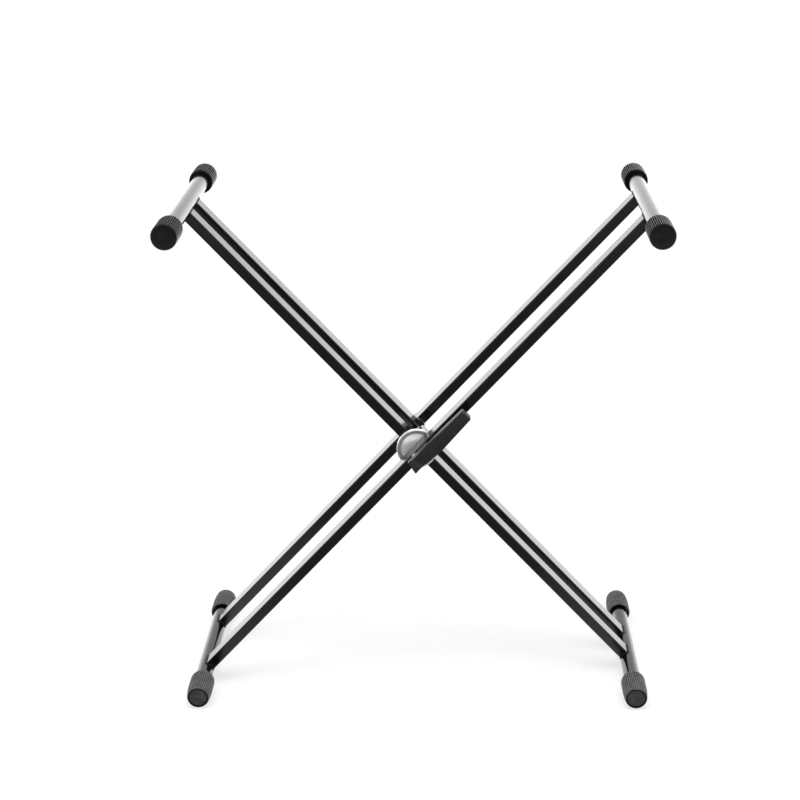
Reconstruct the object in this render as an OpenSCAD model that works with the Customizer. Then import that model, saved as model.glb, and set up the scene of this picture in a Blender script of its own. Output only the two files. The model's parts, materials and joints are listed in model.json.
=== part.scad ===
// Folding stand for a keyboard or a mixer: two tube frames crossed on one bolt, locked by a disc clutch.
// Millimetres, +Z up, front towards -Y. The origin is on the floor, below the pivot.

/* [Frame] */
// Angle of each brace above the floor
brace_angle = 47; // [40:1:55]
// Pivot to the axis of a foot tube, along the brace
foot_reach = 480; // [380:5:560]
// Pivot to the axis of an arm tube, along the brace
arm_reach = 490; // [380:5:600]
// Depth of a brace tube, front to back
brace_depth = 30; // [26:1:40]
// Height of a brace tube
brace_height = 15; // [14:0.5:20]
// Wall of a brace tube
brace_wall = 1.2; // [1:0.1:1.4]
// Outside corner radius of a brace tube
brace_corner = 1.6; // [1.6:0.1:3]
// Width over the inner pair of braces, front to back
inner_span = 100; // [90:1:140]
// Gap between an inner brace and the outer brace beside it
brace_gap = 11; // [10.5:0.5:16]
// Leg of the saddle weld where a brace meets a round tube
weld_leg = 3; // [2:0.5:4]

/* [Round tubes] */
// Diameter of the foot and arm tubes
tube_d = 25; // [22:1:28]
// Wall of the foot and arm tubes
tube_wall = 1.5; // [1:0.1:3]
// Length of a foot over its caps
foot_length = 362; // [330:2:460]
// Length of an arm over its caps
arm_length = 440; // [340:2:520]

/* [Rubber caps] */
// Length of a cap
cap_length = 60; // [50:1:70]
// Thickness of a cap's closed end
cap_end = 5; // [3:0.5:10]
// Diameter of an arm cap
arm_cap_d = 37; // [33:0.5:40]
// Largest diameter of a foot cap
foot_cap_d = 36.5; // [33:0.5:38]
// Diameter of a foot cap's end face
foot_face_d = 32; // [28:0.5:33]
// Number of lengthwise grooves in a cap
cap_grooves = 40; // [24:4:48]
// Depth of a groove
groove_depth = 0.7; // [0.4:0.1:0.9]

/* [Disc clutch] */
// Diameter of the clutch discs
disc_d = 60; // [50:1:70]
// Thickness of the disc on the inner frame
disc_inner_t = 3.5; // [2.5:0.1:4]
// Thickness of the friction lining
lining_t = 1; // [0.6:0.1:1.2]
// Diameter of the friction lining
lining_d = 55; // [40:1:58]
// Thickness of the sliding disc at its rim
disc_rim_t = 2.2; // [1.5:0.1:2.4]
// How far the sliding disc moves to let go
release_travel = 2; // [1:0.1:2.2]

/* [Pivot] */
// Diameter of the pivot bolt
bolt_d = 8; // [7:0.5:8]
// Diameter of the bushes and sleeves round the bolt
sleeve_d = 11.6; // [11:0.1:12]
// Diameter of the spacers on the bolt
spacer_d = 20; // [16:1:24]
// Diameter of the washers under the bolt head and the nut
washer_d = 16; // [14:0.5:18]
// Thickness of those washers
washer_t = 1.6; // [1:0.1:2]

/* [Release lever] */
// Front of the lever, measured from the front brace
lever_standoff = 37; // [34:1:42]
// Tip of the lever, measured along the brace from the pivot
lever_reach = 107; // [90:1:130]
// Width of the lever at its base
lever_base_w = 20; // [18:0.5:26]
// Width of the lever at its tip
lever_tip_w = 17.5; // [14:0.5:20]
// How far the lever's lower edge swells past its base
lever_belly = 2.4; // [0:0.2:4]
// Depth of the grip
grip_depth = 13; // [10:0.5:15]
// Wall of the lever
lever_wall = 2.2; // [1.8:0.1:2.3]
// Distance of the hinge pin from the pivot, along the brace
hinge_reach = 24; // [23:0.5:27]
// Height of the hinge pin above the front brace
hinge_rise = 13; // [11:0.5:15]
// Diameter of the hinge pin
hinge_pin_d = 5; // [4:0.5:6]
// Distance from the hinge pin back to the pin that pulls the disc
pull_arm = 14; // [13:0.5:14.5]

/* [Hidden] */
$fn = 96;

// Clearances
fit_gap = 0.05;     // a shaft in its bore, and pieces pressed together
face_gap = 0.2;     // flat faces that turn on each other
slot_gap = 0.3;     // round the pull pin in the lever's slots
overrun = 1;        // how far a cutting shape passes the face it cuts

// Frame
pivot_z = foot_reach * sin(brace_angle) + foot_cap_d / 2;
inner_y = (inner_span - brace_depth) / 2;
outer_y = (inner_span + brace_depth) / 2 + brace_gap;
outer_face = outer_y + brace_depth / 2;
gap_face = outer_y - brace_depth / 2;
tube_r = tube_d / 2;
weld_share = 0.7;   // how far into the tube a brace is drawn before it is coped

// Clutch, with places measured from the pivot towards the front
disc_inner_at = inner_span / 2;
lining_at = disc_inner_at + disc_inner_t;
disc_outer_at = lining_at + lining_t + face_gap;
disc_outer_t = gap_face - release_travel - face_gap - disc_outer_at;
disc_chamfer = disc_rim_t / 4;
dome_rise = disc_outer_t - disc_rim_t;
dome_r = disc_d / 2 - 2 * disc_chamfer;
dome_sphere_r = (dome_r * dome_r + dome_rise * dome_rise) / (2 * dome_rise);
hub_d = sleeve_d;
hub_length = brace_depth / 3;
rod_d = 3.2;
rod_margin = 2;
rod_at = hub_d / 2 + rod_margin + rod_d / 2;

// Pivot bolt, with places measured from the pivot
head_share = 0.66;          // height of the bolt head, as a share of the bolt's diameter
hex_share = 1.625;          // width of the head and the nut over their flats
thread_share = 0.25;        // how far the thread stands out of the nut
edge_share = 0.1;           // chamfer of the head and the nut
front_washer_share = 0.85;  // the front washer leaves room for the rods beside it
bolt_head_t = bolt_d * head_share;
bolt_head_af = bolt_d * hex_share;
nut_t = bolt_d;
bolt_end = outer_face + washer_t + nut_t + bolt_d * thread_share;
head_chamfer = bolt_d * edge_share;

// Spring, coiled round the bolt inside the front brace
spring_wire = 1.3;
spring_turns = 8;
spring_steps = 20;
spring_sides = 8;
spring_mean_r = (bolt_d + sleeve_d) / 4 + fit_gap;
spring_rear = disc_outer_at + disc_outer_t + hub_length + fit_gap;
spring_front = outer_face - brace_wall - fit_gap;

// Yoke that the lever pulls, with heights measured from the front brace
yoke_gap = 1;
yoke_rise = washer_t + bolt_head_t + yoke_gap;
yoke_t = 3;
yoke_w = 8;
yoke_margin = 2.5;
pull_pin_d = 4;
pull_lift = 2;
pull_rise = hinge_rise + pull_lift;
pull_at = hinge_reach - pull_arm;
lug_margin = 1.5;
lug_length = pull_pin_d + 2 * lug_margin;

// Lever and bracket
bracket_wall = 2;
bracket_gap = 0.5;
bracket_w = yoke_w + 2 * bracket_gap;
bracket_length = 13;
bracket_margin = 4;
cheek_w = bracket_w + 2 * slot_gap + 2 * lever_wall;
cheek_margin = 5;
cheek_slope = 6;
slot_half = 0.6;    // half the length that the pull pin may run in the lever's slots
lever_chin = 11.5;  // the base end, measured behind the pivot's line
chin_lean = 5;      // how much shorter the base end is at its upper corner
chin_drop = 6;
face_end = 5.5;     // where the flat front face ends and the sloping one starts
facet_length = 7.5;
facet_drop = 4;
lever_waist = 1.4;  // how much the lower edge draws in at the end of the front face
belly_share = 0.37; // where along the lever its lower edge swells most
tip_lean = 1.2;     // how far the tip's middle lies below the pivot's line
tip_round = 1.8;

// Rubber caps
shoulder_share = 0.2;
shoulder_steps = 3;
belt_shares = [0.3, 0.5];   // where the widest belt of a foot cap starts and ends
taper_steps = 3;
cap_draw = 0.6;             // how far a foot cap draws in at its open end
cap_chamfer = 1;
groove_r = 1.1;
groove_start = 6;
groove_sides = 24;
dome_sides = 720;

function spring_point(i) =
    let (turn = i / spring_steps, share = i / (spring_steps * spring_turns))
    [spring_mean_r * cos(360 * turn), spring_mean_r * sin(360 * turn),
     spring_wire / 2 + share * (spring_front - spring_rear - spring_wire)];

// Places
module at_pivot() { translate([0, 0, pivot_z]) children(); }
module on_outer() { at_pivot() rotate([0, -brace_angle, 0]) children(); }
module on_inner() { at_pivot() mirror([1, 0, 0]) rotate([0, -brace_angle, 0]) children(); }
// Local Z of a child points to the front, from a distance in front of the pivot
module facing_front(y) { translate([0, -y, 0]) rotate([90, 0, 0]) children(); }
module facing_rear(y) { translate([0, y, 0]) rotate([-90, 0, 0]) children(); }
// side is -1 on the left and 1 on the right
module at_foot(side) {
    translate([side * foot_reach * cos(brace_angle), 0, foot_cap_d / 2]) children();
}
module at_arm(side) {
    translate([side * arm_reach * cos(brace_angle), 0, pivot_z + arm_reach * sin(brace_angle)]) children();
}

// Shared shapes
module rounded_rect(w, h, r) {
    square([w - 2 * r, h], center = true);
    square([w, h - 2 * r], center = true);
    for (x = [-1, 1], y = [-1, 1]) translate([x * (w / 2 - r), y * (h / 2 - r)]) circle(r);
}

module brace_outline(grow) {
    rounded_rect(brace_height + 2 * grow, brace_depth + 2 * grow, brace_corner + grow);
}

module along_brace(x0, x1) {
    translate([x0, 0, 0]) rotate([0, 90, 0]) linear_extrude(x1 - x0) children();
}

module cross_tube(x, r, length) {
    translate([x, 0, 0]) rotate([90, 0, 0]) cylinder(r = r, h = length, center = true);
}

// A brace from its foot tube to its arm tube, with y as its middle
module brace(y) {
    foot_end = -foot_reach + weld_share * tube_r;
    arm_end = arm_reach - weld_share * tube_r;
    reach = brace_depth + 2 * overrun;
    difference() {
        translate([0, y, 0]) difference() {
            along_brace(foot_end, arm_end) brace_outline(0);
            along_brace(foot_end - overrun, arm_end + overrun) brace_outline(-brace_wall);
            cross_tube(-foot_reach, tube_r + fit_gap, reach);
            cross_tube(arm_reach, tube_r + fit_gap, reach);
        }
        children();
    }
}

// The saddle weld round one end of a brace
module weld(x, y) {
    side = sign(x);
    difference() {
        intersection() {
            translate([0, y, 0]) along_brace(min(x, x - side * 2 * tube_r), max(x, x - side * 2 * tube_r))
                brace_outline(weld_leg);
            translate([0, y, 0]) cross_tube(x, tube_r + weld_leg, brace_depth + 4 * weld_leg);
        }
        translate([0, y, 0]) along_brace(min(x, x - side * 3 * tube_r), max(x, x - side * 3 * tube_r))
            brace_outline(fit_gap);
        translate([0, y, 0]) cross_tube(x, tube_r + fit_gap, brace_depth + 6 * weld_leg);
    }
}

module welds(y) {
    for (side = [-1, 1], x = [-foot_reach, arm_reach]) weld(x, side * y);
}

module round_tube(length) {
    rotate([90, 0, 0]) difference() {
        cylinder(d = tube_d, h = length, center = true);
        cylinder(d = tube_d - 2 * tube_wall, h = length + 2 * overrun, center = true);
    }
}

module cap_bore() {
    translate([0, 0, -overrun]) cylinder(r = tube_r + fit_gap, h = cap_length - cap_end + overrun);
}

module grooves(d) {
    for (i = [0 : cap_grooves - 1]) rotate([0, 0, (i + 0.5) * 360 / cap_grooves])
        translate([d / 2 + groove_r - groove_depth, 0, groove_start])
            cylinder(r = groove_r, h = cap_length - groove_start + overrun, $fn = groove_sides);
}

// Caps stand on their open end, with the closed end up
module arm_cap() {
    r = arm_cap_d / 2;
    difference() {
        rotate_extrude() polygon([[0, 0], [r - cap_chamfer, 0], [r, cap_chamfer],
            [r, cap_length - cap_chamfer], [r - cap_chamfer, cap_length], [0, cap_length]]);
        cap_bore();
        grooves(arm_cap_d);
    }
}

// Rounded towards the tube, widest along a short belt and drawn in towards the end face
module foot_cap() {
    r = foot_cap_d / 2;
    face_r = foot_face_d / 2;
    belt = [for (share = belt_shares) share * cap_length];
    shoulder = shoulder_share * (r - tube_r);
    taper = (cap_length - cap_chamfer - belt[1]) / taper_steps;
    difference() {
        rotate_extrude() polygon(concat(
            [[0, 0]],
            [for (i = [0 : shoulder_steps]) let (a = 90 * i / shoulder_steps)
                [r - shoulder * (1 - sin(a)) - cap_draw * (1 - i / shoulder_steps), shoulder * (1 - cos(a))]],
            [for (z = belt) [r, z]],
            [for (i = [1 : taper_steps]) [r - (r - face_r) * pow(i / taper_steps, 2), belt[1] + i * taper]],
            [[face_r - cap_chamfer, cap_length], [0, cap_length]]));
        cap_bore();
        grooves(foot_cap_d);
    }
}

module at_cap(length, side) {
    rotate([side < 0 ? 90 : -90, 0, 0]) translate([0, 0, length / 2 - cap_length]) children();
}

// Colours
module steel() { color([0.09, 0.09, 0.095]) children(); }
module rubber() { color([0.24, 0.24, 0.25]) children(); }
module bright() { color([0.78, 0.78, 0.80]) children(); }
module zinc() { color([0.62, 0.63, 0.65]) children(); }
module nylon() { color([0.16, 0.16, 0.17]) children(); }

// Braces
module outer_brace_front() {
    steel() on_outer() brace(-outer_y) {
        facing_front(gap_face - overrun) cylinder(d = hub_d + 2 * fit_gap, h = brace_wall + 2 * overrun);
        facing_front(outer_face - brace_wall - overrun)
            cylinder(d = bolt_d + 2 * fit_gap, h = brace_wall + 2 * overrun);
        for (side = [-1, 1]) translate([side * rod_at, 0, 0]) facing_front(gap_face - overrun)
            cylinder(d = rod_d + 2 * fit_gap, h = brace_depth + 2 * overrun);
    }
}

module outer_brace_rear() {
    steel() on_outer() brace(outer_y)
        facing_rear(gap_face - overrun) cylinder(d = sleeve_d + 2 * fit_gap, h = brace_depth + 2 * overrun);
}

module inner_brace_front() {
    steel() on_inner() brace(-inner_y)
        facing_front(inner_y - brace_depth / 2 - overrun)
            cylinder(d = sleeve_d + 2 * fit_gap, h = brace_depth + 2 * overrun);
}

module inner_brace_rear() {
    steel() on_inner() brace(inner_y)
        facing_rear(inner_y - brace_depth / 2 - overrun)
            cylinder(d = sleeve_d + 2 * fit_gap, h = brace_depth + 2 * overrun);
}

// Round tubes and welds
module outer_foot_tube() { steel() at_foot(-1) round_tube(foot_length - 2 * cap_end - 2 * fit_gap); }
module inner_foot_tube() { steel() at_foot(1) round_tube(foot_length - 2 * cap_end - 2 * fit_gap); }
module outer_arm_tube() { steel() at_arm(1) round_tube(arm_length - 2 * cap_end - 2 * fit_gap); }
module inner_arm_tube() { steel() at_arm(-1) round_tube(arm_length - 2 * cap_end - 2 * fit_gap); }
module outer_welds() { steel() on_outer() welds(outer_y); }
module inner_welds() { steel() on_inner() welds(inner_y); }

// Rubber caps
module outer_foot_cap_front() { rubber() at_foot(-1) at_cap(foot_length, -1) foot_cap(); }
module outer_foot_cap_rear() { rubber() at_foot(-1) at_cap(foot_length, 1) foot_cap(); }
module inner_foot_cap_front() { rubber() at_foot(1) at_cap(foot_length, -1) foot_cap(); }
module inner_foot_cap_rear() { rubber() at_foot(1) at_cap(foot_length, 1) foot_cap(); }
module outer_arm_cap_front() { rubber() at_arm(1) at_cap(arm_length, -1) arm_cap(); }
module outer_arm_cap_rear() { rubber() at_arm(1) at_cap(arm_length, 1) arm_cap(); }
module inner_arm_cap_front() { rubber() at_arm(-1) at_cap(arm_length, -1) arm_cap(); }
module inner_arm_cap_rear() { rubber() at_arm(-1) at_cap(arm_length, 1) arm_cap(); }

// Pivot
module ring(outer_d, inner_d, t) {
    difference() {
        cylinder(d = outer_d, h = t);
        translate([0, 0, -overrun]) cylinder(d = inner_d, h = t + 2 * overrun);
    }
}

module inner_bushes() {
    nylon() at_pivot() for (y = [-1, 1]) translate([0, y * inner_y, 0]) facing_front(-brace_depth / 2)
        ring(sleeve_d, bolt_d + 2 * fit_gap, brace_depth);
}

module centre_spacer() {
    gap = 2 * inner_y - brace_depth;
    steel() at_pivot() facing_front(-gap / 2) ring(spacer_d, bolt_d + 2 * fit_gap, gap);
}

module rear_sleeve() {
    zinc() at_pivot() facing_rear(gap_face) ring(sleeve_d, bolt_d + 2 * fit_gap, brace_depth);
}

module rear_spacer() {
    nylon() at_pivot() facing_rear(inner_span / 2 + face_gap)
        ring(spacer_d, bolt_d + 2 * fit_gap, brace_gap - face_gap);
}

module pivot_bolt() {
    r = bolt_head_af / 2 / cos(30);
    zinc() on_outer() {
        facing_front(outer_face + washer_t) intersection() {
            rotate([0, 0, 30]) cylinder(r = r, h = bolt_head_t, $fn = 6);
            rotate_extrude() polygon([[0, 0], [r, 0], [r, bolt_head_t - head_chamfer],
                [r - 2 * head_chamfer, bolt_head_t], [0, bolt_head_t]]);
        }
        facing_front(-bolt_end) cylinder(d = bolt_d, h = bolt_end + outer_face + washer_t);
    }
}

module pivot_washers() {
    zinc() at_pivot() {
        facing_front(outer_face) ring(washer_d * front_washer_share, bolt_d + 2 * fit_gap, washer_t);
        facing_rear(outer_face) ring(washer_d, bolt_d + 2 * fit_gap, washer_t);
    }
}

module pivot_nut() {
    r = bolt_head_af / 2 / cos(30);
    zinc() on_outer() facing_rear(outer_face + washer_t) difference() {
        intersection() {
            cylinder(r = r, h = nut_t, $fn = 6);
            rotate_extrude() polygon([[0, 0], [r, 0], [r, nut_t - head_chamfer],
                [r - 2 * head_chamfer, nut_t], [0, nut_t]]);
        }
        translate([0, 0, -overrun]) cylinder(d = bolt_d + 2 * fit_gap, h = nut_t + 2 * overrun);
    }
}

// Clutch
module clutch_disc_inner() {
    r = disc_d / 2;
    bright() at_pivot() facing_front(disc_inner_at) difference() {
        rotate_extrude() polygon([[0, 0], [r - disc_chamfer, 0], [r, disc_chamfer],
            [r, disc_inner_t - disc_chamfer], [r - disc_chamfer, disc_inner_t], [0, disc_inner_t]]);
        translate([0, 0, -overrun]) cylinder(d = bolt_d + 2 * fit_gap, h = disc_inner_t + 2 * overrun);
    }
}

module clutch_lining() {
    nylon() at_pivot() facing_front(lining_at) ring(lining_d, hub_d, lining_t);
}

module clutch_disc_outer() {
    r = disc_d / 2;
    bright() on_outer() facing_front(disc_outer_at) difference() {
        union() {
            rotate_extrude() polygon([[0, 0], [r - disc_chamfer, 0], [r, disc_chamfer],
                [r, disc_rim_t - disc_chamfer], [r - disc_chamfer, disc_rim_t], [0, disc_rim_t]]);
            rotate_extrude() intersection() {
                translate([0, disc_rim_t / 2]) square([dome_r, disc_outer_t]);
                translate([0, disc_outer_t - dome_sphere_r]) circle(dome_sphere_r, $fn = dome_sides);
            }
            cylinder(d = hub_d, h = disc_outer_t + hub_length);
        }
        translate([0, 0, -overrun])
            cylinder(d = bolt_d + 2 * fit_gap, h = disc_outer_t + hub_length + 2 * overrun);
        for (side = [-1, 1]) translate([side * rod_at, 0, disc_rim_t / 2])
            cylinder(d = rod_d + 2 * fit_gap, h = disc_outer_t + overrun);
    }
}

module clutch_spring() {
    count = spring_steps * spring_turns;
    points = [for (i = [0 : count], j = [0 : spring_sides - 1])
        let (a = 360 / spring_steps * i, b = 360 / spring_sides * j, p = spring_point(i),
             r = spring_wire / 2 * cos(b))
        [p[0] + r * cos(a), p[1] + r * sin(a), p[2] + spring_wire / 2 * sin(b)]];
    sides = [for (i = [0 : count - 1], j = [0 : spring_sides - 1])
        let (k = (j + 1) % spring_sides, low = i * spring_sides, high = low + spring_sides)
        each [[low + j, high + j, low + k], [high + j, high + k, low + k]]];
    ends = [for (j = [1 : spring_sides - 2])
        each [[0, j, j + 1], [count * spring_sides, count * spring_sides + j + 1, count * spring_sides + j]]];
    zinc() at_pivot() facing_front(spring_rear) polyhedron(points, concat(sides, ends));
}

module release_rods() {
    steel() on_outer() for (side = [-1, 1]) translate([side * rod_at, 0, 0])
        facing_front(disc_outer_at + disc_rim_t / 2)
            cylinder(d = rod_d, h = outer_face + yoke_rise + yoke_t - disc_outer_at - disc_rim_t / 2);
}

module release_yoke() {
    reach = rod_at + yoke_margin;
    steel() on_outer() difference() {
        union() {
            translate([-reach, -outer_face - yoke_rise - yoke_t, -yoke_w / 2])
                cube([2 * reach, yoke_t, yoke_w]);
            translate([pull_at - lug_length / 2, -outer_face - pull_rise - lug_length / 2, -yoke_w / 2])
                cube([lug_length, pull_rise + lug_length / 2 - yoke_rise, yoke_w]);
        }
        for (side = [-1, 1]) translate([side * rod_at, 0, 0])
            facing_front(outer_face + yoke_rise - overrun)
                cylinder(d = rod_d + 2 * fit_gap, h = yoke_t + overrun);
        translate([pull_at, -outer_face - pull_rise, 0])
            cylinder(d = pull_pin_d + 2 * fit_gap, h = yoke_w + 2 * overrun, center = true);
    }
}

module yoke_pin() {
    zinc() on_outer() translate([pull_at, -outer_face - pull_rise, 0])
        cylinder(d = pull_pin_d, h = cheek_w - 2 * face_gap, center = true);
}

// Lever
module lever_bracket() {
    length = hinge_rise + bracket_margin;
    steel() on_outer() difference() {
        translate([hinge_reach - bracket_length / 2, -outer_face - length, -bracket_w / 2])
            cube([bracket_length, length, bracket_w]);
        translate([hinge_reach - bracket_length / 2 - overrun, -outer_face - length - overrun,
                   bracket_wall - bracket_w / 2])
            cube([bracket_length + 2 * overrun, length + overrun - bracket_wall,
                  bracket_w - 2 * bracket_wall]);
        translate([hinge_reach, -outer_face - hinge_rise, 0])
            cylinder(d = hinge_pin_d + 2 * fit_gap, h = bracket_w + 2 * overrun, center = true);
    }
}

module hinge_pin() {
    zinc() on_outer() translate([hinge_reach, -outer_face - hinge_rise, 0])
        cylinder(d = hinge_pin_d, h = cheek_w - 2 * face_gap, center = true);
}

// Side view of the lever's shell: along the brace, and out from its front face.
// The hollow is inset by the wall and passes the open back by the overrun.
module lever_side(inset) {
    front = lever_standoff - inset;
    back = lever_standoff - grip_depth - (inset > 0 ? overrun : 0);
    polygon([[inset - lever_chin, back], [lever_reach - inset, back],
        [lever_reach - inset, front - tip_round], [lever_reach - inset - tip_round, front],
        [face_end + inset, front], [face_end - facet_length + inset, front - facet_drop],
        [inset - lever_chin, front - chin_drop]]);
}

// Front view of the lever: along the brace, and up across it
module lever_plan(inset) {
    base = lever_base_w / 2 - inset;
    high = lever_tip_w / 2 - tip_lean - inset;
    low = lever_tip_w / 2 + tip_lean - inset;
    end = lever_reach - inset;
    polygon([[inset - lever_chin, -base], [face_end, lever_waist - base],
        [belly_share * lever_reach, -base - lever_belly], [end - tip_round, -low],
        [end, tip_round - low], [end, high - tip_round], [end - tip_round, high],
        [chin_lean + inset - lever_chin, base]]);
}

module lever_solid(inset) {
    intersection() {
        translate([0, -outer_face, 0]) mirror([0, 1, 0])
            linear_extrude(2 * lever_base_w, center = true) lever_side(inset);
        translate([0, -outer_face, 0]) rotate([90, 0, 0])
            linear_extrude(lever_standoff + overrun) lever_plan(inset);
    }
}

// The two cheeks inside the shell reach back to the hinge pin and the pull pin
module lever_cheeks() {
    wide = cheek_w / 2;
    front = lever_standoff - lever_wall / 2;
    for (side = [0, 1]) mirror([0, 0, side])
        translate([0, -outer_face, wide - lever_wall]) mirror([0, 1, 0])
            linear_extrude(lever_wall) polygon([[pull_at - cheek_margin, front],
                [pull_at - cheek_margin, pull_rise - cheek_margin + face_gap],
                [hinge_reach - cheek_margin, hinge_rise - cheek_margin - face_gap],
                [hinge_reach + cheek_margin, hinge_rise - cheek_margin - face_gap],
                [hinge_reach + cheek_margin + cheek_slope, front]]);
}

module lever() {
    color([0.13, 0.13, 0.135]) on_outer() difference() {
        union() {
            difference() {
                lever_solid(0);
                lever_solid(lever_wall);
            }
            lever_cheeks();
        }
        translate([hinge_reach, -outer_face - hinge_rise, 0])
            cylinder(d = hinge_pin_d + 2 * fit_gap, h = cheek_w + 2 * overrun, center = true);
        for (x = [-slot_half, slot_half]) translate([pull_at + x, -outer_face - pull_rise, 0])
            cylinder(d = pull_pin_d + 2 * slot_gap, h = cheek_w + 2 * overrun, center = true);
    }
}

outer_brace_front();
outer_brace_rear();
outer_foot_tube();
outer_arm_tube();
outer_welds();
outer_foot_cap_front();
outer_foot_cap_rear();
outer_arm_cap_front();
outer_arm_cap_rear();
inner_brace_front();
inner_brace_rear();
inner_foot_tube();
inner_arm_tube();
inner_welds();
inner_foot_cap_front();
inner_foot_cap_rear();
inner_arm_cap_front();
inner_arm_cap_rear();
inner_bushes();
centre_spacer();
clutch_disc_inner();
clutch_lining();
clutch_disc_outer();
release_rods();
release_yoke();
yoke_pin();
clutch_spring();
pivot_bolt();
pivot_washers();
pivot_nut();
rear_sleeve();
rear_spacer();
lever_bracket();
hinge_pin();
lever();
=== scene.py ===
"""Looks of the folding stand: caps, weld beads, clutch disc, lever and the finish of every surface."""
import json
import math

import bmesh
import bpy
from mathutils import Matrix, Vector

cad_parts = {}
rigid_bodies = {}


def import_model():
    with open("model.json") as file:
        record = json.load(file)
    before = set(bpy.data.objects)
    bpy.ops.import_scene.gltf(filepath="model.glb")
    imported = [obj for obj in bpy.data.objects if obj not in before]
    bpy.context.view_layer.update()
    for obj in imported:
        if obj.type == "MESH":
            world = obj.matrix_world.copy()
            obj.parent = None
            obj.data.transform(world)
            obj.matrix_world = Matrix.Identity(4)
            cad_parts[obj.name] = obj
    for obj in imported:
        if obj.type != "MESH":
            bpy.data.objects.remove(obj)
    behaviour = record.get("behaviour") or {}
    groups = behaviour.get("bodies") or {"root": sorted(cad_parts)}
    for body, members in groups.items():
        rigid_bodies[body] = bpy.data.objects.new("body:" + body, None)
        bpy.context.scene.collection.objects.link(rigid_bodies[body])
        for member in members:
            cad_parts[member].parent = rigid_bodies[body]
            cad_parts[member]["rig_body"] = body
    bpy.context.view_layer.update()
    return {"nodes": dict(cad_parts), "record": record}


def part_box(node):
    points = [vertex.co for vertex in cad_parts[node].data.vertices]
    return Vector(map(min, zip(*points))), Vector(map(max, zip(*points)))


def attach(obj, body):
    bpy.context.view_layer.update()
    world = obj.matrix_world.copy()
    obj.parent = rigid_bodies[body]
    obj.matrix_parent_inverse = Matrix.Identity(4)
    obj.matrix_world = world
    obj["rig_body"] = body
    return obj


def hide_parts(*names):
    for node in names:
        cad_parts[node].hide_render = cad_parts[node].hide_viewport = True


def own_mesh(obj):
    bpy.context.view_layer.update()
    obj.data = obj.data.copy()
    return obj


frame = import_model()
MM = 0.001

# The camera that the photograph was taken with, measured from the pivot
CAMERA_FROM_PIVOT = Vector((0.0534, -2.5794, 0.9004))
CAMERA_PITCH = math.radians(20.108)
CAMERA_YAW = math.radians(-0.849)
CAMERA_ROLL = math.radians(-0.258)
CAMERA_LENS = 80.92
CAMERA_SENSOR = 36
CAMERA_SHIFT_X = -0.0346
CAMERA_SHIFT_Y = 0.0797

# Brightness of the room in reflections, from in front of the stand to the backdrop behind it.
# The front and the back are the Y parts of unit directions.
ROOM_FRONT = -0.6
ROOM_BACK = 0.8
ROOM_DARK = 1.0
ROOM_BRIGHT = 2.3
# The share of it that is left overhead, reached where the Z part of a direction has this value
ROOM_CEILING = 0.62
ROOM_CEILING_FROM = 0.3
# Plain light of the world, and how white it looks to the camera
WORLD_LIGHT = 0.55
WORLD_SEEN = 1.0

# Floor: half its width in metres, its plain colour, and its colour and glow as the camera sees it.
# The glow grows between two distances from the middle.
FLOOR_REACH = 14
FLOOR_COLOUR = 0.8
FLOOR_SEEN_COLOUR = 0.38
FLOOR_GLOW_NEAR = 0.66
FLOOR_GLOW_FAR = 0.83
FLOOR_NEAR = 0.7
FLOOR_FAR = 3.0
# The floor in reflections: dark in front of the stand, bright behind it, and lit again behind the camera
FLOOR_DARK = 0.25
FLOOR_BRIGHT = 2.25
FLOOR_DARK_Y = -0.5
FLOOR_BRIGHT_Y = 0.3
FLOOR_FORWARD = 0.7
FLOOR_FORWARD_START_Y = -2.6
FLOOR_FORWARD_FULL_Y = -4.5

# Softboxes, all aimed at the middle of the stand: place, size in metres and power in watts
LIGHT_TARGET = Vector((0, 0, 0.4))
SOFTBOXES = {
    "top_softbox": ((0.0, -0.4, 3.2), (3.0, 2.2), 60),
    "left_softbox": ((-2.6, -1.6, 1.9), (1.6, 1.6), 22),
    "right_softbox": ((2.6, -1.2, 1.6), (1.4, 1.6), 20)}

# Rubber caps: number of ribs, points across each, their depth, and how sharp their crests are
ARM_RIBS = 40
FOOT_RIBS = 40
RIB_STEPS = 10
ARM_RIB_DEPTH = 1.5 * MM
FOOT_RIB_DEPTH = 1.1 * MM
RIB_SHARPNESS = 1.7
# How many of the steps of a rib belong to its crest, which is lighter than the groove: the groove gets a
# darker rubber as painted shade
ARM_RIDGE_STEPS = 3
FOOT_RIDGE_STEPS = 4
# The bore round the tube, as deep as a share of the cap, and the recess at its mouth
BORE_SHARE = 0.3
BORE_GAP = 0.1 * MM
MOUTH_DEPTH = 6 * MM
MOUTH_LIP = 0.7 * MM
MOUTH_EDGE = 0.2 * MM

# Arm cap, in mm: distance from that end, how far the surface is drawn in, and share of the rib depth
ARM_MOUTH = ((0, 1.6, 0), (0.4, 0.9, 0), (1.2, 0.2, 0.5), (2.5, 0, 1))
ARM_NOSE = ((1.2, 0, 1), (0.5, 0.2, 0.95), (0.1, 0.6, 0.7), (0, 1.2, 0.2))
ARM_BODY_SHARES = (0.15, 0.3, 0.45, 0.6, 0.75, 0.9)
# Its end face: an inset from the cap's radius, two rings in mm as above but inset from there, and its middle
ARM_FACE_INSET = 1.5 * MM
ARM_FACE_EDGE = ((0, 1.2), (0.15, 2.2))
ARM_FACE_SUNK = 0.15 * MM
ARM_FACE_SHARES = (0.5, 0.15)

# Foot cap: a round shoulder at the mouth, a straight part, and a taper to the end face
FOOT_FACE_SHARE = 0.885
SHOULDER_LENGTH = 8 * MM
SHOULDER_DROP = 1.8 * MM
SHOULDER_STEPS = 6
FOOT_BODY_SHARES = (0.3, 0.4, 0.5)
TAPER_START = 0.5
TAPER_END = 2.4 * MM
TAPER_STEPS = 7
TAPER_LIP = 0.3 * MM
TAPER_FADE = 0.35
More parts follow.
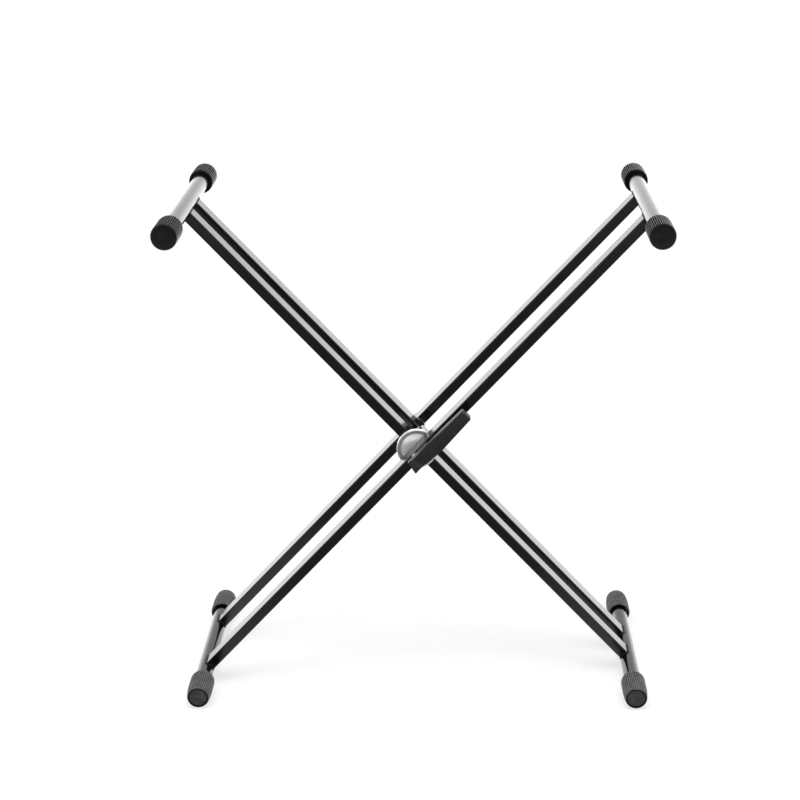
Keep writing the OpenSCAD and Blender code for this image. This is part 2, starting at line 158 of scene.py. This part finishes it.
# Its lip and the ring between lip and dome, in mm: distance from the end, and inset from the radius of
# the end face. The lip also has the share of the rib depth.
FOOT_LIP = ((1.4, 0.1, 0.4), (0.9, 0.5, 0))
FOOT_RING = ((0.8, 0.8), (1.2, 1.1), (3.6, 1.3), (3.7, 2.6))
DOME_INSET = 2.8 * MM
DOME_RISE = 2.4 * MM
DOME_SUNK = 0.1 * MM
DOME_SHARES = (1.0, 0.93, 0.8, 0.6, 0.4, 0.2, 0.08)

# Weld beads: leg of the fillet, its ripples, the spacing of its rings and how far it sinks into the metal
BEAD_LEG = 1.8 * MM
BEAD_RIPPLE = 0.2 * MM
BEAD_PITCH = 2.2 * MM
BEAD_STEP = 0.55 * MM
BEAD_SUNK = 0.25 * MM
# Points of its face, as shares of the leg outward and upward
BEAD_FACE = ((0.36, 0.82), (0.68, 0.55), (0.9, 0.2))
# Section of a brace: corner radius, half its height, and steps along a quarter turn
BRACE_CORNER = 1.6 * MM
BRACE_HALF_HEIGHT = 7.5 * MM
CORNER_STEPS = 4

# Pressed disc: how far its rim, flat ring and dome stand forward of its back
DISC_SIDES = 192
DISC_RIM = 2.2 * MM
DISC_RING = 1.9 * MM
DISC_TOP = 4.1 * MM
# Radii of its bore, its hub and the top of its dome, and how far in from its edge the dome starts
DISC_BORE = 4.05 * MM
DISC_HUB = 5.8 * MM
DISC_CROWN = 11.5 * MM
DISC_DOME_INSET = 6.5 * MM
DISC_DOME_STEPS = 14
HUB_EDGE = 0.4 * MM
# Corners of the rim and the flat ring, in mm: inset from the edge, and distance from that face
RIM_BACK = ((0.7, 0), (0.2, 0.2), (0, 0.7))
RIM_FACE = ((0, 0.7), (0.2, 0.2), (0.7, 0), (1.8, 0), (2.2, 0.1))
RING_FACE = ((2.5, 0), (6.2, 0.1))

# Softened pieces: width of their rounded edges, and the angle above which an edge is rounded.
# Before that, faces within the flat angle and points within the gap are merged.
LEVER_EDGE = 0.9 * MM
BRACKET_EDGE = 0.5 * MM
YOKE_EDGE = 0.4 * MM
SHARP_ANGLE = math.radians(25)
FLAT_ANGLE = math.radians(1)
MERGE_GAP = 0.005 * MM

# Angle in degrees above which an edge stays crisp under smooth shading
CAP_SMOOTH = 50
BEAD_SMOOTH = 60
DISC_SMOOTH = 30
SPRING_SMOOTH = 40
LEVER_SMOOTH = 20
METAL_SMOOTH = 35


# What the frame says: slots of the nodes, joints, and where the tubes lie
slots = {row["node"]: row["material_slot"] for row in frame["record"]["subparts"]}
joints = {row["name"]: row for row in frame["record"]["behaviour"]["joints"]}
pivot = Vector(joints["fold"]["pos_m"])
foot_low, foot_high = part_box("outer_foot_tube")
arm_low, arm_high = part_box("outer_arm_tube")
foot_axis, arm_axis = (foot_low + foot_high) / 2, (arm_low + arm_high) / 2
tube_radius = (foot_high - foot_low).z / 2
foot_reach = (Vector((foot_axis.x, 0, foot_axis.z)) - pivot).length
arm_reach = (Vector((arm_axis.x, 0, arm_axis.z)) - pivot).length
brace_angle = math.atan2(pivot.z - foot_axis.z, -foot_axis.x)


# Meshes and pieces
def shade(piece, degrees):
    """Smooth shading, with the edges sharper than an angle kept crisp."""
    for polygon in piece.data.polygons:
        polygon.use_smooth = True
    build = bmesh.new()
    build.from_mesh(piece.data)
    for edge in build.edges:
        edge.smooth = len(edge.link_faces) == 2 and edge.calc_face_angle(0) < math.radians(degrees)
    build.to_mesh(piece.data)
    build.free()


def new_object(name, mesh, body, material, replaced, smooth):
    """Puts a mesh in the scene as a piece that rides on a body and stands for a CAD node."""
    piece = bpy.data.objects.new(name, mesh)
    bpy.context.scene.collection.objects.link(piece)
    mesh.materials.clear()
    mesh.materials.append(material)
    shade(piece, smooth)
    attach(piece, body)
    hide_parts(replaced)
    return piece


def strip_faces(count, sides, base=0, closed=False):
    """Quads between neighbouring rings of points, and from the last to the first where closed."""
    faces = []
    for i in range(count if closed else count - 1):
        for j in range(sides):
            k, n = (j + 1) % sides, (i + 1) % count
            faces.append((base + i * sides + j, base + i * sides + k,
                          base + n * sides + k, base + n * sides + j))
    return faces


def mesh_of(name, points, faces):
    """A mesh with all its faces turned outward."""
    mesh = bpy.data.meshes.new(name)
    mesh.from_pydata(points, [], faces)
    mesh.validate()
    build = bmesh.new()
    build.from_mesh(mesh)
    bmesh.ops.recalc_face_normals(build, faces=build.faces)
    build.to_mesh(mesh)
    build.free()
    return mesh


def paint(mesh, faces, number):
    """Gives some faces of a mesh another of its materials."""
    for face in faces:
        mesh.polygons[face].material_index = number


# Nodes of materials
def node_material(name, base, roughness, metallic=0.0, specular=0.5):
    """A material of one colour, with its node tree and its shader."""
    material = bpy.data.materials.new(name)
    material.use_nodes = True
    shader = material.node_tree.nodes["Principled BSDF"]
    shader.inputs["Base Color"].default_value = (*base, 1)
    shader.inputs["Roughness"].default_value = roughness
    shader.inputs["Metallic"].default_value = metallic
    shader.inputs["Specular IOR Level"].default_value = specular
    return material, material.node_tree, shader


def noise(tree, scale, detail=2.0, stretch=(1, 1, 1)):
    """Noise in the object's own metres."""
    coordinates = tree.nodes.new("ShaderNodeTexCoord")
    mapping = tree.nodes.new("ShaderNodeMapping")
    mapping.inputs["Scale"].default_value = stretch
    texture = tree.nodes.new("ShaderNodeTexNoise")
    texture.inputs["Scale"].default_value = scale
    texture.inputs["Detail"].default_value = detail
    tree.links.new(coordinates.outputs["Object"], mapping.inputs["Vector"])
    tree.links.new(mapping.outputs["Vector"], texture.inputs["Vector"])
    return texture.outputs["Fac"]


def ranged(tree, value, low, high, from_low=0.3, from_high=0.7):
    """Maps a value from one range to another."""
    node = tree.nodes.new("ShaderNodeMapRange")
    node.inputs["From Min"].default_value = from_low
    node.inputs["From Max"].default_value = from_high
    node.inputs["To Min"].default_value = low
    node.inputs["To Max"].default_value = high
    tree.links.new(value, node.inputs["Value"])
    return node.outputs["Result"]


def cloudy(tree, shader, value, dark, light, from_low=0.35, from_high=0.65):
    """Base colour that drifts between two colours."""
    ramp = tree.nodes.new("ShaderNodeValToRGB")
    for element, place, colour in zip(ramp.color_ramp.elements, (from_low, from_high), (dark, light)):
        element.position = place
        element.color = (*colour, 1)
    tree.links.new(value, ramp.inputs["Fac"])
    tree.links.new(ramp.outputs["Color"], shader.inputs["Base Color"])


def rough(tree, shader, value, low, high):
    """Roughness that varies between two values."""
    tree.links.new(ranged(tree, value, low, high), shader.inputs["Roughness"])


def bumped(tree, shader, value, distance, strength):
    bump = tree.nodes.new("ShaderNodeBump")
    bump.inputs["Strength"].default_value = strength
    bump.inputs["Distance"].default_value = distance
    tree.links.new(value, bump.inputs["Height"])
    tree.links.new(bump.outputs["Normal"], shader.inputs["Normal"])


# Materials
def black_paint():
    """Satin black powder coat with a faint orange peel, bright only where it is seen at a low angle."""
    material, tree, shader = node_material("black_paint", (0.003, 0.003, 0.0034), roughness=0.2)
    shader.inputs["IOR"].default_value = 1.45
    rough(tree, shader, noise(tree, scale=90), low=0.12, high=0.2)
    cloudy(tree, shader, noise(tree, scale=25),
           dark=(0.002, 0.002, 0.0023), light=(0.004, 0.004, 0.0044))
    bumped(tree, shader, noise(tree, scale=900, detail=1.0), distance=0.00002, strength=0.35)
    return material


def rubber(name, dark, light, roughness, specular=0.3):
    """Black rubber with a dusty bloom."""
    material, tree, shader = node_material(name, (dark,) * 3, roughness, specular=specular)
    cloudy(tree, shader, noise(tree, scale=120, detail=4.0), (dark,) * 3, (light,) * 3)
    rough(tree, shader, noise(tree, scale=300), roughness - 0.07, roughness + 0.07)
    bumped(tree, shader, noise(tree, scale=1800, detail=3.0), distance=0.00003, strength=0.3)
    return material


def lever_plastic():
    """Fine-grained moulded plastic."""
    base = (0.010, 0.010, 0.0104)
    material, tree, shader = node_material("lever_plastic", base, roughness=0.45, specular=0.4)
    cloudy(tree, shader, noise(tree, scale=60, detail=3.0),
           dark=(0.008, 0.008, 0.0084), light=(0.012, 0.012, 0.0125))
    rough(tree, shader, noise(tree, scale=500), low=0.38, high=0.52)
    bumped(tree, shader, noise(tree, scale=2600, detail=3.0), distance=0.00004, strength=0.5)
    return material


def nylon():
    """Plain black nylon."""
    material, tree, shader = node_material("nylon_black", (0.012, 0.012, 0.012), roughness=0.5)
    rough(tree, shader, noise(tree, scale=400), low=0.4, high=0.6)
    bumped(tree, shader, noise(tree, scale=1500), distance=0.00003, strength=0.4)
    return material


def chrome():
    """Satin chrome on pressed steel."""
    material, tree, shader = node_material("disc_chrome", (0.85, 0.85, 0.86), roughness=0.24, metallic=0.65)
    cloudy(tree, shader, noise(tree, scale=45, detail=3.0),
           dark=(0.80, 0.80, 0.81), light=(0.90, 0.90, 0.91))
    rough(tree, shader, noise(tree, scale=700, stretch=(1, 0.1, 1)), low=0.16, high=0.30)
    bumped(tree, shader, noise(tree, scale=1400), distance=0.00001, strength=0.3)
    return material


def zinc():
    """Bright zinc plate with a cloudy surface."""
    material, tree, shader = node_material("zinc_steel", (0.52, 0.53, 0.55), roughness=0.35, metallic=1.0)
    cloudy(tree, shader, noise(tree, scale=150, detail=4.0),
           dark=(0.44, 0.45, 0.47), light=(0.60, 0.61, 0.62))
    rough(tree, shader, noise(tree, scale=600, detail=3.0), low=0.28, high=0.46)
    bumped(tree, shader, noise(tree, scale=1500), distance=0.00002, strength=0.4)
    return material


materials = {
    "black_paint": black_paint(), "cap_rubber": rubber("foot_rubber", dark=0.12, light=0.20, roughness=0.6),
    "lever_plastic": lever_plastic(), "nylon_black": nylon(), "disc_chrome": chrome(), "zinc_steel": zinc()}
# The arm caps' own dark rubber; it also paints shade, black, on the mouth and on the ring round the dome of
# a foot cap.
dark_rubber_and_shade = rubber("dark_rubber_and_shade", dark=0.005, light=0.009, roughness=0.3, specular=0.17)
# The groove rubbers are darker than their caps' rubber: painted shade in the grooves. The foot one also
# colours the dome of a foot cap.
foot_groove_shade_and_dome = rubber("foot_groove_rubber", dark=0.035, light=0.055, roughness=0.7, specular=0.1)
arm_groove_shade = rubber("arm_groove_rubber", dark=0.002, light=0.004, roughness=0.7, specular=0.05)
# A darker chrome for the flat ring of the disc: a painted dark reflection.
dark_reflection_chrome = node_material("dark_reflection_chrome", (0.42, 0.42, 0.43), roughness=0.3, metallic=0.65)[0]
weld_paint = node_material("weld_paint", (0.003, 0.003, 0.0034), roughness=0.5, specular=0.1)[0]


def dress_cad_nodes():
    """Gives each CAD node the material of its slot."""
    for node, slot in slots.items():
        mesh = frame["nodes"][node].data
        mesh.materials.clear()
        mesh.materials.append(materials[slot])


# Rubber caps
def arm_cap_profile(length, radius):
    """An arm cap's ribbed body, as places along it with radius and rib depth, and its end face."""
    body = [(along * MM, radius - inset * MM, depth) for along, inset, depth in ARM_MOUTH]
    body += [(length * share, radius, 1) for share in ARM_BODY_SHARES]
    body += [(length - along * MM, radius - inset * MM, depth) for along, inset, depth in ARM_NOSE]
    face = radius - ARM_FACE_INSET
    end = [(length - along * MM, face - inset * MM) for along, inset in ARM_FACE_EDGE]
    end += [(length - ARM_FACE_SUNK, face * share) for share in ARM_FACE_SHARES]
    return body, end


def foot_cap_profile(length, radius):
    """The same for a foot cap, whose end has a ring and a dome."""
    face = radius * FOOT_FACE_SHARE
    body = []
    for i in range(SHOULDER_STEPS + 1):
        turn = math.pi / 2 * i / SHOULDER_STEPS
        body.append((SHOULDER_LENGTH * (1 - math.cos(turn)), radius - SHOULDER_DROP * (1 - math.sin(turn)),
                     i / SHOULDER_STEPS))
    body += [(length * share, radius, 1) for share in FOOT_BODY_SHARES]
    start = length * TAPER_START
    for i in range(1, TAPER_STEPS + 1):
        share = i / TAPER_STEPS
        body.append((start + (length - start - TAPER_END) * share,
                     radius - (radius - face - TAPER_LIP) * share ** 2, 1 - TAPER_FADE * share))
    body += [(length - along * MM, face - inset * MM, depth) for along, inset, depth in FOOT_LIP]
    end = [(length - along * MM, face - inset * MM) for along, inset in FOOT_RING]
    edge = face - DOME_INSET
    end += [(length - DOME_SUNK - DOME_RISE * share ** 2, edge * share) for share in DOME_SHARES]
    return body, end


def ribbed_cap(name, node, body_name, arm):
    """A rubber cap with rounded lengthwise ribs, standing for one CAD cap."""
    low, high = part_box(node)
    centre = (low + high) / 2
    length, radius = high.y - low.y, (high.x - low.x) / 2
    front = centre.y < 0
    open_y = high.y if front else low.y
    direction = -1 if front else 1
    if arm:
        ribs, rib_depth, ridge = ARM_RIBS, ARM_RIB_DEPTH, ARM_RIDGE_STEPS
        body, end = arm_cap_profile(length, radius)
    else:
        ribs, rib_depth, ridge = FOOT_RIBS, FOOT_RIB_DEPTH, FOOT_RIDGE_STEPS
        body, end = foot_cap_profile(length, radius)
    bore, lip = tube_radius + BORE_GAP, body[0][1] - MOUTH_LIP
    mouth = [(length * BORE_SHARE, bore), (MOUTH_DEPTH, bore), (MOUTH_DEPTH, lip), (MOUTH_EDGE, lip)]
    stations = [(along, r, 0) for along, r in mouth] + body + [(along, r, 0) for along, r in end]
    sides = ribs * RIB_STEPS
    points = []
    for along, r, depth in stations:
        for j in range(sides):
            turn = 2 * math.pi * j / sides
            wave = 0.5 + 0.5 * math.cos(ribs * turn)
            reach = r - rib_depth * depth * (1 - wave ** RIB_SHARPNESS)
            points.append((centre.x + reach * math.cos(turn), open_y + direction * along,
                           centre.z + reach * math.sin(turn)))
    closing = [tuple(reversed(range(sides))), tuple(range(len(points) - sides, len(points)))]
    mesh = mesh_of(name, points, strip_faces(len(stations), sides) + closing)
    new_object(name, mesh, body_name, dark_rubber_and_shade if arm else materials["cap_rubber"], node, CAP_SMOOTH)

    # The grooves get a darker rubber than the crests, as painted shade
    mesh.materials.append(arm_groove_shade if arm else foot_groove_shade_and_dome)
    body_start = len(mouth) * sides
    end_start = (len(mouth) + len(body) - 1) * sides
    paint(mesh, [face for face in range(body_start, end_start)
                 if ridge / 2 <= face % RIB_STEPS < RIB_STEPS - ridge / 2], 1)
    if not arm:
        # The dome gets the same darker rubber as the grooves; the mouth and the ring round the dome are
        # black, as painted shade
        mesh.materials.append(dark_rubber_and_shade)
        dome_start = (len(stations) - len(DOME_SHARES)) * sides
        paint(mesh, range(body_start), 2)
        paint(mesh, range(end_start, dome_start), 2)
        paint(mesh, range(dome_start, len(mesh.polygons)), 1)


def make_caps():
    for side in ("outer", "inner"):
        for end in ("foot", "arm"):
            for place in ("front", "rear"):
                node = f"{side}_{end}_cap_{place}"
                ribbed_cap(f"ribbed_{node}", node, f"{side}_frame", end == "arm")


# Weld beads
def brace_directions(side):
    """Directions along the braces to the arm, and upward off them. side is 1 for the outer frame."""
    along = Vector((side * math.cos(brace_angle), 0, math.sin(brace_angle)))
    upward = Vector((-side * math.sin(brace_angle), 0, math.cos(brace_angle)))
    return along, upward


def bead_path(half_depth, half_height):
    """Points round the section of a brace, as pairs of depth and height, evenly spaced on its flats."""
    corners = []
    across, upward = half_depth - BRACE_CORNER, half_height - BRACE_CORNER
    for sign_y, sign_z, start in ((1, 1, 0), (-1, 1, 90), (-1, -1, 180), (1, -1, 270)):
        for i in range(CORNER_STEPS + 1):
            turn = math.radians(start + 90 / CORNER_STEPS * i)
            corners.append(Vector((sign_y * across + BRACE_CORNER * math.cos(turn),
                                   sign_z * upward + BRACE_CORNER * math.sin(turn), 0)))
    path = []
    for a, b in zip(corners, corners[1:] + corners[:1]):
        count = max(1, round((b - a).length / BEAD_STEP))
        path += [a.lerp(b, i / count) for i in range(count)]
    return path


def weld_bead(centre_y, reach, along, upward, half_depth):
    """Rings of one weld bead, a rippled fillet between the faces of a brace and its round tube."""
    path = bead_path(half_depth, BRACE_HALF_HEIGHT)
    towards_pivot = -1 if reach > 0 else 1

    def spot(point, lift):
        """A place beside the brace, at a height above the surface of the round tube."""
        x = reach + towards_pivot * (math.sqrt(max(tube_radius ** 2 - point.y ** 2, 0)) + lift)
        return tuple(pivot + along * x + upward * point.y + Vector((0, centre_y + point.x, 0)))

    rings = []
    travelled = 0
    for i, point in enumerate(path):
        tangent = (path[(i + 1) % len(path)] - path[i - 1]).normalized()
        outward = Vector((tangent.y, -tangent.x, 0))
        travelled += (point - path[i - 1]).length
        leg = BEAD_LEG + BEAD_RIPPLE * math.sin(2 * math.pi * travelled / BEAD_PITCH)
        ring = [spot(point - outward * BEAD_SUNK, leg)]
        ring += [spot(point + outward * leg * out, leg * up) for out, up in BEAD_FACE]
        ring += [spot(point + outward * leg, -BEAD_SUNK), spot(point - outward * BEAD_SUNK, -BEAD_SUNK)]
        rings.append(ring)
    return rings


def make_welds():
    for side, prefix in ((1, "outer"), (-1, "inner")):
        along, upward = brace_directions(side)
        points, faces = [], []
        for place in ("front", "rear"):
            low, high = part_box(f"{prefix}_brace_{place}")
            for reach in (-foot_reach, arm_reach):
                rings = weld_bead((low.y + high.y) / 2, reach, along, upward, (high.y - low.y) / 2)
                faces += strip_faces(len(rings), len(rings[0]), len(points), closed=True)
                points += [point for ring in rings for point in ring]
        mesh = mesh_of(f"{prefix}_weld_beads", points, faces)
        new_object(mesh.name, mesh, f"{prefix}_frame", weld_paint, f"{prefix}_welds", BEAD_SMOOTH)


# Clutch
def make_disc():
    """The pressed disc: a rolled rim, a flat ring and a shallow dome, with its hub."""
    low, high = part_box("clutch_disc_outer")
    back, hub_front, radius = -high.y, -low.y, (high.x - low.x) / 2
    rim = [(DISC_BORE, back)]
    rim += [(radius - inset * MM, back + depth * MM) for inset, depth in RIM_BACK]
    rim += [(radius - inset * MM, back + DISC_RIM - depth * MM) for inset, depth in RIM_FACE]
    ring = [(radius - inset * MM, back + DISC_RING - depth * MM) for inset, depth in RING_FACE]
    edge = radius - DISC_DOME_INSET
    dome = []
    for i in range(DISC_DOME_STEPS + 1):
        share = i / DISC_DOME_STEPS
        dome.append((edge + (DISC_CROWN - edge) * share,
                     back + DISC_RING + (DISC_TOP - DISC_RING) * math.sin(math.pi / 2 * share)))
    hub = [(DISC_HUB, back + DISC_TOP), (DISC_HUB, hub_front - HUB_EDGE),
           (DISC_HUB - HUB_EDGE, hub_front), (DISC_BORE, hub_front)]
    profile = rim + ring + dome + hub
    turns = [2 * math.pi * j / DISC_SIDES for j in range(DISC_SIDES)]
    points = [(pivot.x + r * math.cos(turn), -forward, pivot.z + r * math.sin(turn))
              for r, forward in profile for turn in turns]
    mesh = mesh_of("pressed_disc", points, strip_faces(len(profile), DISC_SIDES, closed=True))
    new_object("pressed_disc", mesh, "clutch_release", materials["disc_chrome"], "clutch_disc_outer",
               DISC_SMOOTH)
    # The flat ring gets the darker chrome: a painted dark reflection.
    mesh.materials.append(dark_reflection_chrome)
    paint(mesh, range((len(rim) - 1) * DISC_SIDES, (len(rim) + len(ring)) * DISC_SIDES), 1)


def make_spring():
    """The clutch spring, copied from its CAD node with a mesh of its own. The real spring shortens as the
    disc is pulled against it; this copy keeps its length.
    """
    source = frame["nodes"]["clutch_spring"]
    piece = new_object("coiled_spring", source.data.copy(), source["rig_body"], materials["zinc_steel"],
                       "clutch_spring", SPRING_SMOOTH)
    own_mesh(piece)


# Pieces with softened edges
def softened(node, name, width, segments=3, smooth=METAL_SMOOTH):
    """A copy of a CAD node with its flat faces merged and its edges rounded."""
    source = frame["nodes"][node]
    mesh = source.data.copy()
    build = bmesh.new()
    build.from_mesh(mesh)
    bmesh.ops.remove_doubles(build, verts=build.verts, dist=MERGE_GAP)
    bmesh.ops.dissolve_limit(build, angle_limit=FLAT_ANGLE, verts=build.verts, edges=build.edges)
    build.to_mesh(mesh)
    build.free()
    draft = bpy.data.objects.new(name, mesh)
    bpy.context.scene.collection.objects.link(draft)
    bevel = draft.modifiers.new("bevel", "BEVEL")
    bevel.width = width
    bevel.segments = segments
    bevel.limit_method = "ANGLE"
    bevel.angle_limit = SHARP_ANGLE
    bpy.context.view_layer.update()
    graph = bpy.context.evaluated_depsgraph_get()
    final = bpy.data.meshes.new_from_object(draft.evaluated_get(graph))
    bpy.data.objects.remove(draft)
    new_object(name, final, source["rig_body"], materials[slots[node]], node, smooth)


def make_pieces():
    dress_cad_nodes()
    make_caps()
    make_welds()
    make_disc()
    make_spring()
    softened("lever", "moulded_lever", LEVER_EDGE, segments=6, smooth=LEVER_SMOOTH)
    softened("lever_bracket", "folded_bracket", BRACKET_EDGE)
    softened("release_yoke", "milled_yoke", YOKE_EDGE)


# Setting
def diffuse(tree, colour):
    node = tree.nodes.new("ShaderNodeBsdfDiffuse")
    node.inputs["Color"].default_value = (colour, colour, colour, 1)
    return node.outputs[0]


def glow(tree, strength):
    node = tree.nodes.new("ShaderNodeEmission")
    tree.links.new(strength, node.inputs["Strength"])
    return node.outputs[0]


def added(tree, first, second):
    node = tree.nodes.new("ShaderNodeAddShader")
    tree.links.new(first, node.inputs[0])
    tree.links.new(second, node.inputs[1])
    return node.outputs[0]


def chosen(tree, factor, plain_shader, other):
    """The plain shader, or the other one where the factor is 1."""
    node = tree.nodes.new("ShaderNodeMixShader")
    tree.links.new(factor, node.inputs[0])
    tree.links.new(plain_shader, node.inputs[1])
    tree.links.new(other, node.inputs[2])
    return node.outputs[0]


def floor_material():
    """A pale floor that keeps shadows, looks white to the camera, and is graded in reflections."""
    material = bpy.data.materials.new("floor")
    material.use_nodes = True
    tree = material.node_tree
    tree.nodes.clear()
    output = tree.nodes.new("ShaderNodeOutputMaterial")
    path = tree.nodes.new("ShaderNodeLightPath")
    place = tree.nodes.new("ShaderNodeTexCoord").outputs["Object"]
    parts = tree.nodes.new("ShaderNodeSeparateXYZ")
    far = tree.nodes.new("ShaderNodeVectorMath")
    far.operation = "LENGTH"
    tree.links.new(place, parts.inputs["Vector"])
    tree.links.new(place, far.inputs[0])
    whitening = ranged(tree, far.outputs["Value"], FLOOR_GLOW_NEAR, FLOOR_GLOW_FAR, FLOOR_NEAR, FLOOR_FAR)
    shadowed = added(tree, diffuse(tree, FLOOR_SEEN_COLOUR), glow(tree, whitening))
    backward = ranged(tree, parts.outputs["Y"], FLOOR_DARK, FLOOR_BRIGHT, FLOOR_DARK_Y, FLOOR_BRIGHT_Y)
    forward = ranged(tree, parts.outputs["Y"], 0.0, FLOOR_FORWARD,
                     FLOOR_FORWARD_START_Y, FLOOR_FORWARD_FULL_Y)
    mirrored = added(tree, glow(tree, backward), glow(tree, forward))
    seen = chosen(tree, path.outputs["Is Camera Ray"], diffuse(tree, FLOOR_COLOUR), shadowed)
    tree.links.new(chosen(tree, path.outputs["Is Glossy Ray"], seen, mirrored), output.inputs[0])
    return material


def make_floor():
    mesh = bpy.data.meshes.new("floor")
    corners = [(x * FLOOR_REACH, y * FLOOR_REACH, 0) for x, y in ((-1, -1), (1, -1), (1, 1), (-1, 1))]
    mesh.from_pydata(corners, [], [(0, 1, 2, 3)])
    mesh.materials.append(floor_material())
    floor = bpy.data.objects.new("floor", mesh)
    bpy.context.scene.collection.objects.link(floor)


def area_light(name, place, size, power):
    data = bpy.data.lights.new(name, "AREA")
    data.shape = "RECTANGLE"
    data.size, data.size_y = size
    data.energy = power
    light = bpy.data.objects.new(name, data)
    bpy.context.scene.collection.objects.link(light)
    light.location = place
    light.rotation_euler = (LIGHT_TARGET - Vector(place)).to_track_quat("-Z", "Y").to_euler()


def glossy_surroundings(tree):
    """Brightness of the studio in a reflection: a bright backdrop, and a darker room in front."""
    coordinates = tree.nodes.new("ShaderNodeTexCoord")
    parts = tree.nodes.new("ShaderNodeSeparateXYZ")
    tree.links.new(coordinates.outputs["Generated"], parts.inputs["Vector"])
    across = ranged(tree, parts.outputs["Y"], ROOM_DARK, ROOM_BRIGHT, ROOM_FRONT, ROOM_BACK)
    upward = ranged(tree, parts.outputs["Z"], 1.0, ROOM_CEILING, 0.0, ROOM_CEILING_FROM)
    product = tree.nodes.new("ShaderNodeMath")
    product.operation = "MULTIPLY"
    tree.links.new(across, product.inputs[0])
    tree.links.new(upward, product.inputs[1])
    return product.outputs["Value"]


def make_light():
    world = bpy.data.worlds.new("studio")
    bpy.context.scene.world = world
    world.use_nodes = True
    tree = world.node_tree
    background = tree.nodes["Background"]
    path = tree.nodes.new("ShaderNodeLightPath")
    reflected = tree.nodes.new("ShaderNodeMix")
    tree.links.new(path.outputs["Is Glossy Ray"], reflected.inputs["Factor"])
    reflected.inputs["A"].default_value = WORLD_LIGHT
    tree.links.new(glossy_surroundings(tree), reflected.inputs["B"])
    seen = tree.nodes.new("ShaderNodeMix")
    tree.links.new(path.outputs["Is Camera Ray"], seen.inputs["Factor"])
    tree.links.new(reflected.outputs["Result"], seen.inputs["A"])
    seen.inputs["B"].default_value = WORLD_SEEN
    tree.links.new(seen.outputs["Result"], background.inputs["Strength"])
    background.inputs["Color"].default_value = (1, 1, 1, 1)
    for name, (place, size, power) in SOFTBOXES.items():
        area_light(name, place, size, power)


def make_camera():
    data = bpy.data.cameras.new("camera")
    data.sensor_width = CAMERA_SENSOR
    data.lens = CAMERA_LENS
    data.shift_x = CAMERA_SHIFT_X
    data.shift_y = CAMERA_SHIFT_Y
    camera = bpy.data.objects.new("camera", data)
    bpy.context.scene.collection.objects.link(camera)
    forward = Vector((math.sin(CAMERA_YAW) * math.cos(CAMERA_PITCH),
                      math.cos(CAMERA_YAW) * math.cos(CAMERA_PITCH), -math.sin(CAMERA_PITCH)))
    right = Vector((math.cos(CAMERA_YAW), -math.sin(CAMERA_YAW), 0))
    up = right.cross(forward)
    rolled_right = right * math.cos(CAMERA_ROLL) + up * math.sin(CAMERA_ROLL)
    rolled_up = up * math.cos(CAMERA_ROLL) - right * math.sin(CAMERA_ROLL)
    turn = Matrix((rolled_right, rolled_up, -forward)).transposed()
    camera.matrix_world = Matrix.Translation(pivot + CAMERA_FROM_PIVOT) @ turn.to_4x4()
    bpy.context.scene.camera = camera


make_pieces()
make_floor()
make_light()
make_camera()
bpy.context.scene.view_settings.view_transform = "Standard"
